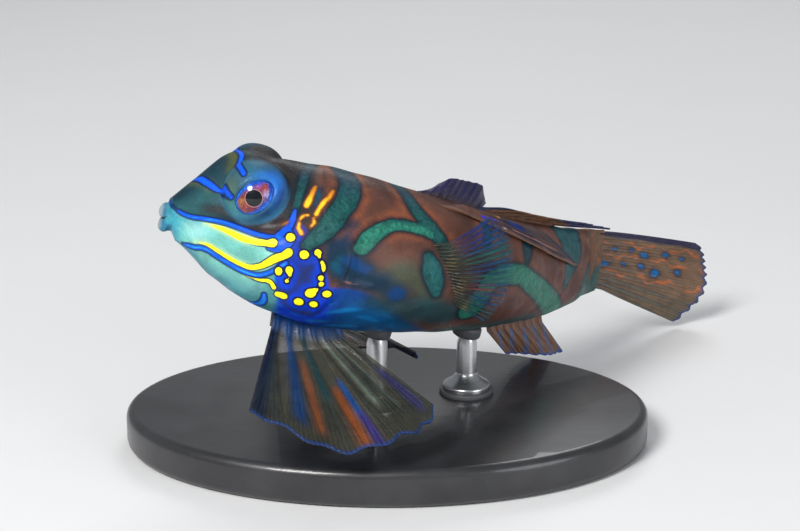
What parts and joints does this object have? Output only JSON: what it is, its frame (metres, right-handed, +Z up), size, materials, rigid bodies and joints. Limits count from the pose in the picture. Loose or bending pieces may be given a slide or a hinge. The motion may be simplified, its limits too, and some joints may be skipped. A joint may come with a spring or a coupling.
{
  "type": "mandarinfish",
  "caption": "Still display model of a small reef fish: domed eyes, thick body curving away, fan fins spread like wings, on an oval plate with short rods",
  "frame": {"origin": "middle of the underside of the oval stand plate, on the surface it stands on", "axes": "+Z up; the head looks towards -X, and the body swings towards +Y behind the pectoral fins"},
  "size_m": [0.0499, 0.0456, 0.0244],
  "materials": {
    "teal_face": "wet, scaleless skin",
    "pale_lips": "wet, pale lips",
    "eye": "clear, glossy eye",
    "rust_body": "wet, scaleless skin",
    "blue_fins": "thin ribbed skin",
    "olive_fins": "thin ribbed skin",
    "amber_fins": "thin ribbed skin",
    "stand_plate": "satin black",
    "stand_steel": "satin"
  },
  "bodies": {
    "root": {"head": "teal_face", "upper_lip": "pale_lips", "lower_lip": "pale_lips", "eye_left": "eye", "eye_right": "eye", "trunk_front": "rust_body", "trunk_rear": "rust_body", "tail_stalk": "rust_body", "first_dorsal_fin": "amber_fins", "second_dorsal_fin": "blue_fins", "anal_fin": "amber_fins", "tail_fin": "amber_fins", "pectoral_fin_left": "blue_fins", "pectoral_fin_right": "blue_fins", "pelvic_fin_left": "olive_fins", "pelvic_fin_right": "olive_fins", "stand_base": "stand_plate", "stand_rod_front": "stand_steel", "stand_rod_rear": "stand_steel"}
  },
  "joints": []
}
